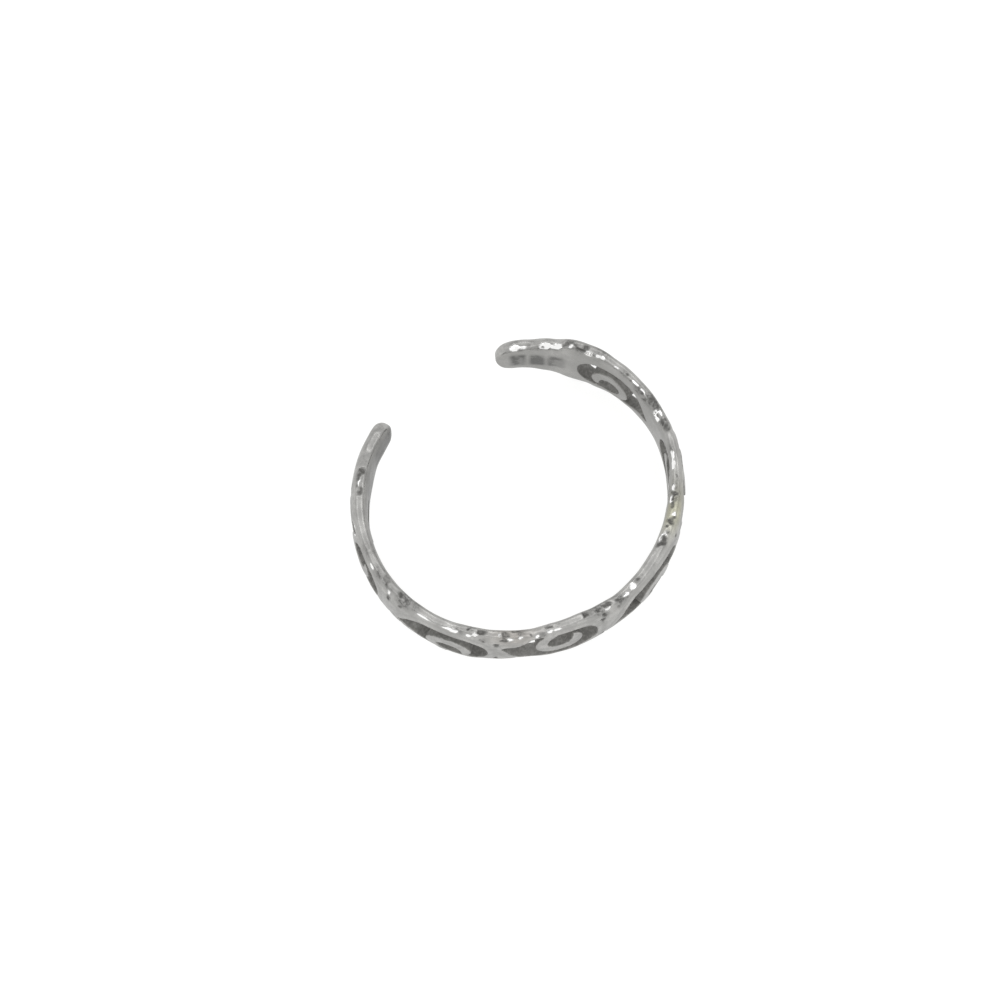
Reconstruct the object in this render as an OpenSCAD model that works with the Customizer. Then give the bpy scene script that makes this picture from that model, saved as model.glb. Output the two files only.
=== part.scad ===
// Open toe ring, cast in one piece: an oval band pierced with a running scroll,
// with two plain round ends that spring apart. It lies on its edge, hole upright.
// X runs along the long way of the hole, the front of the band faces -Y and the
// opening faces +Y. The bottom of the band is at z = 0.

/* [Hole] */
// Inside of the ring across its long way
hole_l = 15.6; // [12:0.02:20]
// Inside of the ring from the front towards the opening
hole_w = 14.4; // [11:0.01:19]
// Part of the turn left open between the two ends, in degrees
opening_angle = 51; // [30:1:75]

/* [Band] */
// Width of the band where it carries the scrolls
band_w = 4.1; // [2.8:0.05:4.6]
// Width of the plain ends
end_w = 2.75; // [1.6:0.05:3.2]
// Thickness of the wall, without the crown of its outer side
wall_t = 0.8; // [0.6:0.01:1.3]
// How far the crown of the outer side stands out at its middle
crown_rise = 0.12; // [0:0.01:0.3]
// Length over which each end rounds to its tip
tip_l = 1.15; // [0.5:0.05:2]
// How square the outer side of the section is, 2 is an ellipse
crown_power = 3.1; // [2:0.1:6]
// How square the inner side of the section is
wall_power = 3.3; // [2:0.1:12]

/* [Scrolls] */
// Length of one pierced window
window_l = 5.12; // [3.6:0.01:5.6]
// Rim left along a window on the side where its scroll grows
rim_thin = 0.5; // [0.15:0.01:0.7]
// Rim left along the other side
rim_wide = 0.68; // [0.25:0.01:1]
// Radius of the scroll that curls inside a window
scroll_r = 1.19; // [0.7:0.01:1.3]
// How far the middle of the scroll hangs below its rim, as a share of the scroll's radius
hang_share = 0.84; // [0.6:0.01:0.9]
// How far the middle of the scroll lies towards the lobe, as a share of the window's length
shift_share = 0.075; // [0:0.005:0.12]

/* [Dimples] */
// Radius of the small drop-shaped dimples between the windows
drop_r = 0.19; // [0.08:0.01:0.25]
// Length of a drop
drop_l = 0.4; // [0.2:0.01:0.8]
// Radius of the dents along the two edges
dent_r = 0.42; // [0.2:0.01:0.6]
// Depth of the drops and dents
dimple_depth = 0.1; // [0.04:0.01:0.16]

/* [Hidden] */

// Half of the band's sweep each way from the front, in degrees
half_span = 180 - opening_angle / 2;
// Length of a degree of the band's middle, round the mean radius
mm_per_degree = (hole_l / 4 + hole_w / 4 + wall_t / 2) * PI / 180;

// Facets of the sweep: stations along the band, steps on each tip, points round the section
station_count = 76;
tip_steps = 5;
section_points = 20;

// Run of the band, by hand
// place: share of the half sweep from the front, minus is the left arm
// swell: 0 is the plain end's width and 1 the scroll band's
// bend: how far the wall stands outside the true oval, as a share of its thickness
// wall: thickness, as a share of the thickness at the front
band_run = [
    [-1.00, 0.00, -0.06, 1.12], [-0.95, 0.04, -0.05, 1.10], [-0.91, 0.08, -0.01, 1.09],
    [-0.84, 0.75, -0.07, 1.11], [-0.68, 0.62, -0.04, 1.07], [-0.60, 0.82, -0.01, 1.06],
    [-0.53, 1.00, 0.00, 1.02], [-0.41, 0.90, 0.00, 1.00], [-0.34, 1.18, -0.02, 1.00],
    [-0.275, 0.80, -0.08, 1.00], [-0.21, 0.55, -0.11, 1.00], [-0.14, 1.08, -0.08, 1.03],
    [-0.08, 1.20, -0.04, 1.04], [-0.01, 0.90, 0.01, 1.04], [0.05, 0.62, 0.10, 1.05],
    [0.115, 0.90, 0.12, 1.08], [0.185, 1.12, 0.08, 1.10], [0.25, 0.90, 0.02, 1.12],
    [0.32, 0.62, -0.03, 1.08], [0.40, 0.85, -0.05, 1.00], [0.47, 1.00, -0.06, 0.94],
    [0.54, 0.62, -0.05, 0.90], [0.63, 0.90, -0.02, 0.94], [0.69, 1.10, 0.01, 1.01],
    [0.75, 1.38, 0.02, 1.09], [0.80, 1.42, 0.00, 1.13], [0.865, 0.65, -0.04, 1.10],
    [0.92, 0.15, -0.06, 1.04], [1.00, 0.00, -0.10, 1.02]
];
PLACE = 0;
SWELL = 1;
BEND = 2;
WALL = 3;

// Middles of the windows along the band, as shares of the half sweep
window_places = [-0.683, -0.401, -0.146, 0.13, 0.394, 0.682];
// Places of the clusters of dimples, at the solid bridges and next to the plain ends
dimple_places = [-0.815, -0.539, -0.274, -0.016, 0.249, 0.538, 0.804];

// Outline of a window: along is a share of half its length, up of half its height
window_run = [
    [-1.00, 0.36], [-0.92, 0.48], [-0.72, 0.52], [-0.55, 0.64], [-0.40, 0.88], [-0.20, 0.99],
    [0.20, 1.00], [0.52, 1.00], [0.78, 0.89], [0.95, 0.52], [1.00, 0.03], [0.94, -0.45],
    [0.76, -0.79], [0.49, -0.96], [0.14, -1.00], [-0.20, -0.98], [-0.51, -0.86], [-0.73, -0.50],
    [-0.88, -0.04], [-0.97, 0.20]
];
outline_steps = 3;

// Run of a scroll round its middle, anticlockwise, from its root to its tip
// turn: angle in degrees
// reach: distance of its outer edge, as a share of the scroll's radius
// body: its thickness, as a share of the scroll's radius
scroll_run = [
    [95, 1.00, 0.24], [120, 1.00, 0.36], [150, 1.00, 0.47], [180, 1.00, 0.53],
    [225, 1.00, 0.59], [270, 1.00, 0.64], [315, 1.03, 0.62], [345, 1.06, 0.57],
    [360, 1.07, 0.52], [375, 1.04, 0.42], [388, 0.99, 0.27], [398, 0.93, 0.12],
    [404, 0.89, 0.02]
];
TURN = 0;
REACH = 1;
BODY = 2;
scroll_steps = 26;

// A cutter reaches from inside the wall to outside it, as shares of the wall's outer radius
inner_share = 0.8;
outer_share = 1.15;

// Shares for the dimples
// tail: radius of a drop's point, in drop radii
// lean: how far a drop stands from the edge, in wide rims
// early and late: dents before and after the drop, in dent radii
tail_share = 0.5;
lean_share = 1.05;
early_share = -1.5;
late_share = 1.2;
ball_facets = 8;

// Row of a table that holds a value in its first column
function row_of(table, x, i = 0) =
    i >= len(table) - 2 || x < table[i + 1][0] ? i : row_of(table, x, i + 1);

// Value of a table's column, eased from row to row
function eased(table, x, column) =
    let (
        a = table[row_of(table, x)],
        b = table[row_of(table, x) + 1],
        f = min(max((x - a[PLACE]) / (b[PLACE] - a[PLACE]), 0), 1)
    )
    a[column] + (b[column] - a[column]) * f * f * (3 - 2 * f);

// Point on a smooth curve through four points, between the second and the third
function between(a, b, c, d, f) =
    b + f / 2 * (c - a + f * (2 * a - 5 * b + 4 * c - d + f * (3 * (b - c) + d - a)));

// A closed table of points made smooth
function smooth_loop(points, steps) =
    let (n = len(points))
    [for (i = [0 : n - 1]) for (k = [0 : steps - 1])
        between(points[(i + n - 1) % n], points[i], points[(i + 1) % n],
            points[(i + 2) % n], k / steps)];

// Half width of the band at a place
function half_width(place) =
    (end_w + (band_w - end_w) * eased(band_run, place, SWELL)) / 2;

// Inner radius of the bent oval at a place
function hole_r(place) =
    (hole_l + hole_w) / 4 - (hole_l - hole_w) / 4 * cos(2 * place * half_span)
    + wall_t * eased(band_run, place, BEND);

// A point of the ring: place, depth outwards from the hole's wall, height
function ring_point(place, depth, z) =
    let (r = hole_r(place) + depth, angle = place * half_span)
    [r * sin(angle), -r * cos(angle), z];

// A share of a quarter round, 0 at the tip and 1 at the end of the rounding
function rounding(x, length) =
    x >= length ? 1 : sqrt(1 - pow(1 - x / length, 2));

// Distance of a place from the nearest tip
function from_tip(place) =
    (1 - abs(place)) * half_span * mm_per_degree;

// Places of the sections: close together on the tips, even between them
tip_share = tip_l / (half_span * mm_per_degree);
start_share = 0.35;
tip_places = [for (k = [0 : tip_steps - 1])
    1 - tip_share * (1 - cos(90 * (k + start_share) / tip_steps))];
stations = concat(
    [for (k = [0 : tip_steps - 1]) -tip_places[k]],
    [for (k = [0 : station_count]) (1 - tip_share) * (2 * k / station_count - 1)],
    [for (k = [tip_steps - 1 : -1 : 0]) tip_places[k]]
);

function signed_power(x, p) = sign(x) * pow(abs(x), p);

// Half thickness of the wall at a place, without its crown
function half_thickness(place) = wall_t / 2 * eased(band_run, place, WALL);

// Rise of the crown at a share of the half width
function crown(share) = crown_rise * (1 - share * share);

// Section of the band at a place, as points of the ring
function section(place) =
    let (
        reach = half_width(place) * rounding(from_tip(place), tip_l),
        thin = rounding(from_tip(place), tip_l / 2)
    )
    [for (k = [0 : section_points - 1])
        let (
            turn = 360 * (k + 0.5) / section_points,
            outside = cos(turn) > 0,
            power = 2 / (outside ? crown_power : wall_power),
            up = signed_power(sin(turn), power),
            half_t = thin * (half_thickness(place) + (outside ? crown(up) : 0))
        )
        ring_point(place, wall_t / 2 + half_t * signed_power(cos(turn), power), reach * up)
    ];

// Depth of the outer side at a height
function outer_depth(place, z) =
    let (share = abs(z) / half_width(place))
    wall_t / 2 + (half_thickness(place) + crown(share))
        * pow(1 - pow(share, crown_power), 1 / crown_power);

band_points = [for (place = stations) each section(place)];
band_faces = concat(
    [[for (k = [section_points - 1 : -1 : 0]) k]],
    [for (i = [0 : len(stations) - 2]) for (k = [0 : section_points - 1])
        let (a = i * section_points, n = (k + 1) % section_points)
        [a + k, a + n, a + section_points + n, a + section_points + k]],
    [[for (k = [0 : section_points - 1]) (len(stations) - 1) * section_points + k]]
);

// Lift that sets the widest place of the band on z = 0, and the shift that centres the ring
lift = max([for (p = band_points) p[2]]);
centre_y = (min([for (p = band_points) p[1]]) + max([for (p = band_points) p[1]])) / 2;

// Outline of a window with its tip to the left and its lobe to the right
module window_outline(top, bottom) {
    middle = (top + bottom) / 2;
    reach = (top - bottom) / 2;
    polygon([for (p = smooth_loop(window_run, outline_steps))
        [p[0] * window_l / 2, middle + p[1] * reach]]);
}

// A scroll that grows from the upper rim, curls round to the left and ends in a tip
module scroll_outline(top) {
    root_turn = scroll_run[0][TURN];
    tip_turn = scroll_run[len(scroll_run) - 1][TURN];
    turns = [for (k = [0 : scroll_steps])
        root_turn + (tip_turn - root_turn) * k / scroll_steps];
    function arc_point(turn, inset) =
        scroll_r * (eased(scroll_run, turn, REACH) - inset) * [cos(turn), sin(turn)];
    translate([window_l * shift_share, top - scroll_r * hang_share])
        polygon(concat(
            [for (turn = turns) arc_point(turn, 0)],
            [for (k = [scroll_steps : -1 : 0])
                arc_point(turns[k], eased(scroll_run, turns[k], BODY))]
        ));
}

// What is pierced out of one window, cut square to the wall and towards the ring's middle
// The drawing is made for the full width and is squeezed where the band is narrower
module pierced_window(place, up) {
    top = band_w / 2 - rim_thin;
    bottom = -band_w / 2 + rim_wide;
    squeeze = half_width(place) / (band_w / 2);
    outer_r = hole_r(place) + wall_t;
    rotate([0, 0, place * half_span])
        rotate([90, 0, 0])
            translate([0, 0, outer_r * inner_share])
                linear_extrude(height = outer_r * (outer_share - inner_share),
                    scale = outer_share / inner_share)
                    scale(inner_share * [1, up ? squeeze : -squeeze])
                        difference() {
                            window_outline(top, bottom);
                            scroll_outline(top);
                        }
}

// A drop-shaped dimple in the outer side, along the height, pointed towards the middle
module drop(place, side) {
    z = side * (half_width(place) - rim_wide * lean_share);
    depth = outer_depth(place, z) + drop_r - dimple_depth;
    hull() {
        translate(ring_point(place, depth, z))
            sphere(drop_r, $fn = ball_facets);
        translate(ring_point(place, depth, z - side * drop_l))
            sphere(drop_r * tail_share, $fn = ball_facets);
    }
}

// A shallow round dent in the rounded edge of the band
module dent(place, side) {
    z = side * (half_width(place) + dent_r - dimple_depth);
    translate(ring_point(place, wall_t / 2, z))
        sphere(dent_r, $fn = 2 * ball_facets);
}

// Dimples where the band is solid: a drop and two dents at each edge
module dimple_cluster(place) {
    spread = dent_r / mm_per_degree / half_span;
    for (side = [-1, 1]) {
        drop(place, side);
        dent(place + early_share * spread, side);
        dent(place + late_share * spread, side);
    }
}

module ring_band() {
    color("silver")
        translate([0, -centre_y, lift])
            difference() {
                polyhedron(band_points, band_faces, convexity = 6);
                for (i = [0 : len(window_places) - 1])
                    pierced_window(window_places[i], i % 2 == 0);
                for (place = dimple_places)
                    dimple_cluster(place);
            }
}

ring_band();
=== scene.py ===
"""An open toe ring, cast in silver: an oval band pierced with running scrolls, with round ends.

The ring is one casting, so it is one piece. Its shape is a signed distance, in millimetres, from
the same sizes as the solid: an oval band with windows cut through it, a scroll left standing in
each window, and the drops, dents, gouges and flats that the maker's tools and wear left along its
two edges. Scene units are metres.
"""

import math
from collections import namedtuple

import bpy
import numpy as np
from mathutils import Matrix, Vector


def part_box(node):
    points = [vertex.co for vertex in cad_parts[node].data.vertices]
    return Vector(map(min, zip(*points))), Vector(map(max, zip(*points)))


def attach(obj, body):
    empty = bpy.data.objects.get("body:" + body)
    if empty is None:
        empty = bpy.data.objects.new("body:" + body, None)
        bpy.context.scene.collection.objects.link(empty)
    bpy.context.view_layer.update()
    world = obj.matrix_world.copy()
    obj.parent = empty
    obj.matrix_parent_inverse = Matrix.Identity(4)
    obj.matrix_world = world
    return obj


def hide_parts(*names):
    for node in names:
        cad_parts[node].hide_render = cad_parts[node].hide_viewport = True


bl_info = {
    "name": "Scrolled toe ring",
    "version": (1, 0, 0),
    "blender": (4, 5, 0),
    "location": "3D View > Sidebar > Toe Ring",
    "description": "Builds an open silver toe ring with pierced scrolls, and a table to show it on",
    "category": "Add Mesh",
}

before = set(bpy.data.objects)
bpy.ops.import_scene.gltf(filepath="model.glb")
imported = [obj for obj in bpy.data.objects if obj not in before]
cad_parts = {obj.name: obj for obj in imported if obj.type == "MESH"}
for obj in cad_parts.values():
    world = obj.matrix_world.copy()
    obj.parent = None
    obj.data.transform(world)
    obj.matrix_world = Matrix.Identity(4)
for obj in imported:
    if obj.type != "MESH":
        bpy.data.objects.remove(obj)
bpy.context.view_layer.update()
MM = 0.001

# Run of the band
# place: share of the half sweep from the front, minus is the left arm
# swell: 0 is the plain end's width and 1 the scroll band's
# bend: how far the wall stands outside the true oval, as a share of its thickness
# wall: thickness, as a share of the thickness at the front
BAND_RUN = np.array([
    (-1.00, 0.00, -0.06, 1.12), (-0.95, 0.04, -0.05, 1.10), (-0.91, 0.08, -0.01, 1.09),
    (-0.84, 0.75, -0.07, 1.11), (-0.68, 0.62, -0.04, 1.07), (-0.60, 0.82, -0.01, 1.06),
    (-0.53, 1.00, 0.00, 1.02), (-0.41, 0.90, 0.00, 1.00), (-0.34, 1.18, -0.02, 1.00),
    (-0.275, 0.80, -0.08, 1.00), (-0.21, 0.55, -0.11, 1.00), (-0.14, 1.08, -0.08, 1.03),
    (-0.08, 1.20, -0.04, 1.04), (-0.01, 0.90, 0.01, 1.04), (0.05, 0.62, 0.10, 1.05),
    (0.115, 0.90, 0.12, 1.08), (0.185, 1.12, 0.08, 1.10), (0.25, 0.90, 0.02, 1.12),
    (0.32, 0.62, -0.03, 1.08), (0.40, 0.85, -0.05, 1.00), (0.47, 1.00, -0.06, 0.94),
    (0.54, 0.62, -0.05, 0.90), (0.63, 0.90, -0.02, 0.94), (0.69, 1.10, 0.01, 1.01),
    (0.75, 1.38, 0.02, 1.09), (0.80, 1.42, 0.00, 1.13), (0.865, 0.65, -0.04, 1.10),
    (0.92, 0.15, -0.06, 1.04), (1.00, 0.00, -0.10, 1.02),
])
SWELL, BEND, WALL = 1, 2, 3

# Middles of the windows, and of the clusters of dimples between them, along the band
WINDOW_PLACES = (-0.683, -0.401, -0.146, 0.13, 0.394, 0.682)
DIMPLE_PLACES = (-0.815, -0.539, -0.274, -0.016, 0.249, 0.538, 0.804)

# Outline of a window: along is a share of half its length, up of half its height
WINDOW_RUN = (
    (-1.00, 0.36), (-0.92, 0.48), (-0.72, 0.52), (-0.55, 0.64), (-0.40, 0.88), (-0.20, 0.99),
    (0.20, 1.00), (0.52, 1.00), (0.78, 0.89), (0.95, 0.52), (1.00, 0.03), (0.94, -0.45),
    (0.76, -0.79), (0.49, -0.96), (0.14, -1.00), (-0.20, -0.98), (-0.51, -0.86), (-0.73, -0.50),
    (-0.88, -0.04), (-0.97, 0.20),
)

# Run of a scroll round its middle, from its root to its tip
# turn: angle in degrees; reach: distance of its outer edge; body: its thickness,
# both as shares of the scroll's radius
SCROLL_RUN = np.array([
    (95, 1.00, 0.24), (120, 1.00, 0.36), (150, 1.00, 0.47), (180, 1.00, 0.53),
    (225, 1.00, 0.59), (270, 1.00, 0.64), (315, 1.03, 0.62), (345, 1.06, 0.57),
    (360, 1.07, 0.52), (375, 1.04, 0.42), (388, 0.99, 0.27), (398, 0.93, 0.12),
    (404, 0.89, 0.02),
])
REACH, BODY = 1, 2

# Flats rubbed by wear on the two edges, each painted bright in the finish as a highlight
# place along the band; turn round its section, in degrees; length and width in mm
FLATS = (
    (-0.812, 84, 0.50, 0.14), (-0.716, 42, 0.30, 0.42), (-0.702, 34, 0.20, 0.34),
    (-0.614, 56, 0.46, 0.44), (-0.566, 76, 0.30, 0.16), (-0.543, 52, 0.22, 0.28),
    (-0.438, 66, 0.85, 0.14), (-0.396, 66, 0.85, 0.14), (-0.335, 56, 0.28, 0.20),
    (-0.318, 72, 0.34, 0.16), (-0.263, 88, 0.24, 0.08), (-0.238, 60, 0.34, 0.15),
    (-0.213, 70, 0.36, 0.19), (-0.183, 66, 0.28, 0.16), (-0.152, 68, 0.50, 0.27),
    (-0.130, 68, 0.50, 0.27), (0.006, 72, 0.38, 0.18), (0.058, 80, 0.32, 0.20),
    (0.079, 86, 0.42, 0.30), (0.225, 104, 0.50, 0.22), (0.240, 92, 0.26, 0.10),
    (0.294, 84, 0.24, 0.14), (0.328, 112, 0.42, 0.24), (0.355, 107, 0.36, 0.19),
    (0.412, 107, 0.52, 0.26), (0.434, 102, 0.50, 0.20), (0.538, 120, 0.34, 0.32),
    (0.552, 110, 0.28, 0.36), (0.545, 86, 0.36, 0.18), (0.600, 98, 0.50, 0.13),
    (0.632, 100, 0.48, 0.15), (0.690, 106, 0.30, 0.10), (0.728, 103, 0.32, 0.18),
    (0.742, 109, 0.32, 0.20), (0.765, 112, 0.46, 0.34), (0.822, 98, 0.42, 0.20),
    (0.864, 108, 0.70, 0.16), (0.889, 108, 0.70, 0.16), (0.938, 107, 0.64, 0.16),
    (0.962, 106, 0.60, 0.16),
)

# Gouges that a graver left round the dimples and along the edges
# place and turn round the section where one starts; the same where it ends; radius and depth, in mm
GOUGES = (
    (-0.835, 78, -0.795, 80, 0.10, 0.03), (-0.800, 92, -0.785, 88, 0.10, 0.03),
    (-0.708, 92, -0.694, 84, 0.09, 0.03), (-0.590, 70, -0.565, 62, 0.11, 0.04),
    (-0.575, 96, -0.552, 84, 0.10, 0.04), (-0.560, 74, -0.552, 66, 0.12, 0.04),
    (-0.520, 76, -0.496, 96, 0.11, 0.05), (-0.512, 92, -0.490, 80, 0.10, 0.04),
    (-0.498, 86, -0.470, 84, 0.10, 0.04), (-0.500, 48, -0.514, 22, 0.12, 0.05),
    (-0.376, 70, -0.348, 74, 0.10, 0.04), (-0.341, 84, -0.334, 106, 0.09, 0.04),
    (-0.309, 46, -0.300, 32, 0.10, 0.04), (-0.266, 52, -0.236, 52, 0.09, 0.03),
    (-0.254, 66, -0.248, 54, 0.10, 0.05), (-0.234, 104, -0.207, 100, 0.12, 0.04),
    (-0.228, 112, -0.212, 108, 0.10, 0.04), (-0.197, 84, -0.193, 70, 0.09, 0.04),
    (-0.172, 52, -0.158, 58, 0.10, 0.04), (-0.158, 92, -0.118, 92, 0.08, 0.03),
    (-0.036, 100, -0.016, 84, 0.10, 0.04), (-0.022, 84, 0.002, 100, 0.10, 0.05),
    (-0.012, 52, -0.005, 36, 0.12, 0.07), (0.032, 88, 0.052, 66, 0.11, 0.05),
    (0.040, 70, 0.062, 64, 0.09, 0.04), (0.026, 50, 0.030, 32, 0.10, 0.03),
    (0.090, 92, 0.118, 88, 0.09, 0.03), (0.200, 104, 0.216, 78, 0.12, 0.05),
    (0.214, 74, 0.232, 72, 0.10, 0.04), (0.224, 98, 0.243, 84, 0.10, 0.05),
    (0.258, 96, 0.276, 88, 0.09, 0.03), (0.282, 76, 0.292, 66, 0.09, 0.03),
    (0.310, 98, 0.328, 90, 0.12, 0.06), (0.330, 104, 0.350, 92, 0.11, 0.06),
    (0.342, 86, 0.356, 96, 0.10, 0.04), (0.372, 88, 0.398, 94, 0.08, 0.03),
    (0.440, 96, 0.470, 102, 0.08, 0.03), (0.516, 104, 0.532, 84, 0.12, 0.06),
    (0.540, 106, 0.560, 104, 0.10, 0.05), (0.566, 78, 0.592, 66, 0.13, 0.05),
    (0.575, 92, 0.600, 96, 0.11, 0.06), (0.588, 122, 0.600, 138, 0.12, 0.05),
    (0.606, 112, 0.650, 114, 0.09, 0.04), (0.662, 96, 0.684, 102, 0.08, 0.03),
    (0.700, 96, 0.716, 90, 0.09, 0.03), (0.776, 112, 0.810, 106, 0.09, 0.04),
    (0.800, 96, 0.814, 90, 0.10, 0.03), (0.830, 106, 0.846, 112, 0.10, 0.04),
    (0.862, 114, 0.900, 113, 0.07, 0.02), (0.900, 110, 0.924, 112, 0.07, 0.02),
    (0.930, 114, 0.958, 116, 0.07, 0.02),
)

# Patches of soot round the gouges, darkened further as painted shade: place; turn round the
# section; radius in mm; strength
SOOT_AND_SHADE = (
    (-0.830, 84, 0.40, 0.5), (-0.740, 92, 0.40, 0.3), (-0.650, 88, 0.60, 0.5),
    (-0.590, 78, 0.50, 0.6), (-0.545, 70, 0.35, 0.5), (-0.502, 84, 0.50, 1.0),
    (-0.476, 92, 0.32, 0.8), (-0.360, 70, 0.35, 0.5), (-0.335, 94, 0.25, 0.5),
    (-0.300, 50, 0.25, 0.4), (-0.250, 58, 0.30, 0.5), (-0.220, 100, 0.30, 0.8),
    (-0.165, 62, 0.25, 0.5), (-0.020, 88, 0.40, 0.8), (-0.008, 42, 0.22, 0.8),
    (0.042, 74, 0.35, 0.8), (0.100, 92, 0.35, 0.4), (0.208, 90, 0.30, 0.6), (0.340, 100, 0.45, 0.8),
    (0.360, 92, 0.30, 0.5), (0.450, 100, 0.45, 0.4), (0.524, 88, 0.40, 0.7), (0.560, 64, 0.50, 0.7),
    (0.578, 80, 0.50, 1.0), (0.592, 126, 0.30, 0.7), (0.615, 114, 0.40, 0.8),
    (0.668, 104, 0.40, 0.4), (0.740, 64, 0.60, 0.6), (0.790, 106, 0.45, 0.5),
    (0.812, 92, 0.35, 0.6), (0.900, 122, 0.50, 0.3), (0.848, 118, 0.22, 0.7),
    (0.868, 119, 0.20, 0.8), (0.888, 118, 0.22, 0.7), (0.910, 92, 0.30, 0.5),
    (0.936, 116, 0.20, 0.6), (0.956, 114, 0.20, 0.5), (0.870, 92, 0.30, 0.5),
    (0.950, 84, 0.30, 0.5),
)

# Bands of painted shade on the inside of the two ends, standing in for a dark reflection there
# place; half length as a share of the half sweep; strength
SHADE_BANDS = (
    (0.942, 0.0265, 1.0), (0.893, 0.0255, 1.0), (0.845, 0.0275, 0.9),
    (-0.800, 0.090, 0.6), (-0.940, 0.060, 0.9),
)

# Tints of the tarnished skin: place; half length as a share of the half sweep; colour
TINTS = (
    (0.300, 0.055, (1.03, 1.02, 0.84)),
    (-0.235, 0.050, (1.03, 0.99, 0.96)),
    (-0.950, 0.090, (0.82, 0.82, 0.82)),
)

# Ripples of the cast skin, of the hammered edges and of the cut marks: wavelength in mm; seed
LONG_RIPPLE, SHORT_RIPPLE = (2.6, 3), (1.1, 8)
HAMMER_RIPPLE, MARK_RIPPLE = (0.75, 5), (0.32, 12)

# Roundings where one thing is cut by another, in mm
TIP_EDGE, DROP_EDGE, DENT_EDGE, GOUGE_EDGE, FLAT_EDGE = 0.04, 0.03, 0.06, 0.02, 0.01

# How far from a window, a furrow, a drop or dent, and a gouge the metal is still changed, in mm
WINDOW_REACH, FURROW_REACH, BALL_REACH, GOUGE_REACH = 0.4, 0.9, 0.3, 0.2

OUTLINE_STEPS = 8  # points along each step of a window's outline
SCROLL_STEPS = 70  # points along each side of a scroll
DRAWING_MARGIN = (1.0, 0.6)  # room round a window's drawing, along and up, in mm
TIP_LEAST = 0.02  # the band's section stays as it is from here to its tip, in mm
HAMMERED = (0.65, 0.90)  # shares of the half width where hammering starts and is full
FURROW_HALF = 0.14  # half width of a furrow, in mm
FURROW_FADE = 0.25  # depth from the middle of the wall over which a furrow sets in, in mm
DROP_SHARE = 1.05  # distance of a drop from the edge, in wide rims
DENT_OFFS = (-1.5, 1.2)  # dents beside a drop, in dent radii along the band
GOUGE_TAPER = 0.4  # share of its radius that a gouge loses towards its end
FLAT_SPAN = 8  # degrees either way over which the bend of the skin under a flat is measured
FLAT_LEAST = 0.005  # least metal that a flat takes, in mm
FLAT_FROM = 0.4  # flats end this far above the middle of the band, in mm
FLAT_WOBBLE = 0.1  # waviness of a flat's outline, as a share of the other marks'
GRID_SPARE = 3  # cells of the grid beyond each tip
GRID_HIGH = 0.62  # half height of the grid, as a share of the band's width
GRID_IN, GRID_OUT = -0.15, 0.2  # depths from the hole and from the crown where it ends, in mm
GRID_R = 0.1  # how far outside the middle of the wall its cells are as long as high, in mm
LEAST_FACES = 1000  # fewer faces than this are no ring

# Where the finish changes; a pair of numbers is where it starts and where it is full
PIT_DEPTH = (0.004, 0.034)  # depth of a drop, dent or gouge, in mm
SUNK_DEPTH = (0.012, 0.042)  # depth below the skin, in mm
PAINTED_HIGHLIGHT_DEPTH = (0.0, 0.005)  # metal that a flat took, where its painted highlight starts and is full, in mm
INWARDS = (0.4, 0.8)  # share of the half thickness, from the middle of the wall to the hole
TINTED = (0.52, 0.92)  # share of the half width
LEFT_END = (0.7, 0.8)  # place along the left arm, where painted shade on the inside sets in
LEFT_END_PAINTED_SHADE = 0.35  # share of light that the inside of the left end loses to painted shade
SHADE_BAND_MIDDLE, SHADE_BAND_HALF, SHADE_BAND_FADE = 0.16, 0.84, 0.28  # heights of a band of painted shade, in mm
SHADE_BAND_SOFT = 0.45  # share of a painted shade band's half length over which its ends fade
SOOT_AND_SHADE_STRENGTH, FURROW_SOOT_AND_SHADE = 1.5, 0.3  # soot and painted shade in its patches and in the furrows

# How dark each finish is, as a share of the colour that it is made from; the shade bands and flat
# rims are painted shade, the soot partly so
SMUDGE_SHADE, SHADE_BAND_TONE, SOOT_AND_SHADE_TONE, PAINTED_BORDER_TONE, PIT_SHADE = 0.74, 0.35, 0.30, 0.45, 0.5
FILM_SHADES = (0.8, 1.25)

# Camera: degrees round from the front and up from the table; distance in metres; aim and lens
CAMERA_TURN, CAMERA_RISE, CAMERA_FAR = -34.5, 72, 0.1726
CAMERA_AIM = (0, 0.00046, 0.0023)
CAMERA_LENS, CAMERA_SHIFT = 122.4, (-0.018, -0.0025)
TABLE_HALF = 0.5


# ---- the ring's shape ----------------------------------------------------------------------------


def eased(table, x, column):
    """One column of a table at x, eased from row to row."""
    row = np.clip(np.searchsorted(table[:, 0], x, side="right") - 1, 0, len(table) - 2)
    a, b = table[row], table[row + 1]
    share = np.clip((x - a[..., 0]) / (b[..., 0] - a[..., 0]), 0, 1)
    return a[..., column] + (b[..., column] - a[..., column]) * share * share * (3 - 2 * share)


def smooth_loop(points, steps):
    """A closed run of points with steps points added along a smooth curve between each two."""
    p = np.array(points, float)
    a, b, c, d = (np.roll(p, k, axis=0)[:, None] for k in (1, 0, -1, -2))
    f = (np.arange(steps) / steps)[None, :, None]
    curve = b + f / 2 * (c - a + f * (2 * a - 5 * b + 4 * c - d + f * (3 * (b - c) + d - a)))
    return curve.reshape(-1, 2)


def outline_distance(outline, x, y):
    """Distance of points from a closed outline, minus inside it."""
    nearest = np.full(x.shape, np.inf)
    inside = np.zeros(x.shape, bool)
    for (ax, ay), (bx, by) in zip(outline, np.roll(outline, -1, axis=0)):
        ex, ey = bx - ax, by - ay
        px, py = x - ax, y - ay
        along = np.clip((px * ex + py * ey) / max(ex * ex + ey * ey, 1e-12), 0, 1)
        nearest = np.minimum(nearest, (px - along * ex) ** 2 + (py - along * ey) ** 2)
        crosses = (ay > y) != (by > y)
        if ay != by:
            inside ^= crosses & (x < ax + (y - ay) * ex / ey)
    return np.where(inside, -1, 1) * np.sqrt(nearest)


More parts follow.
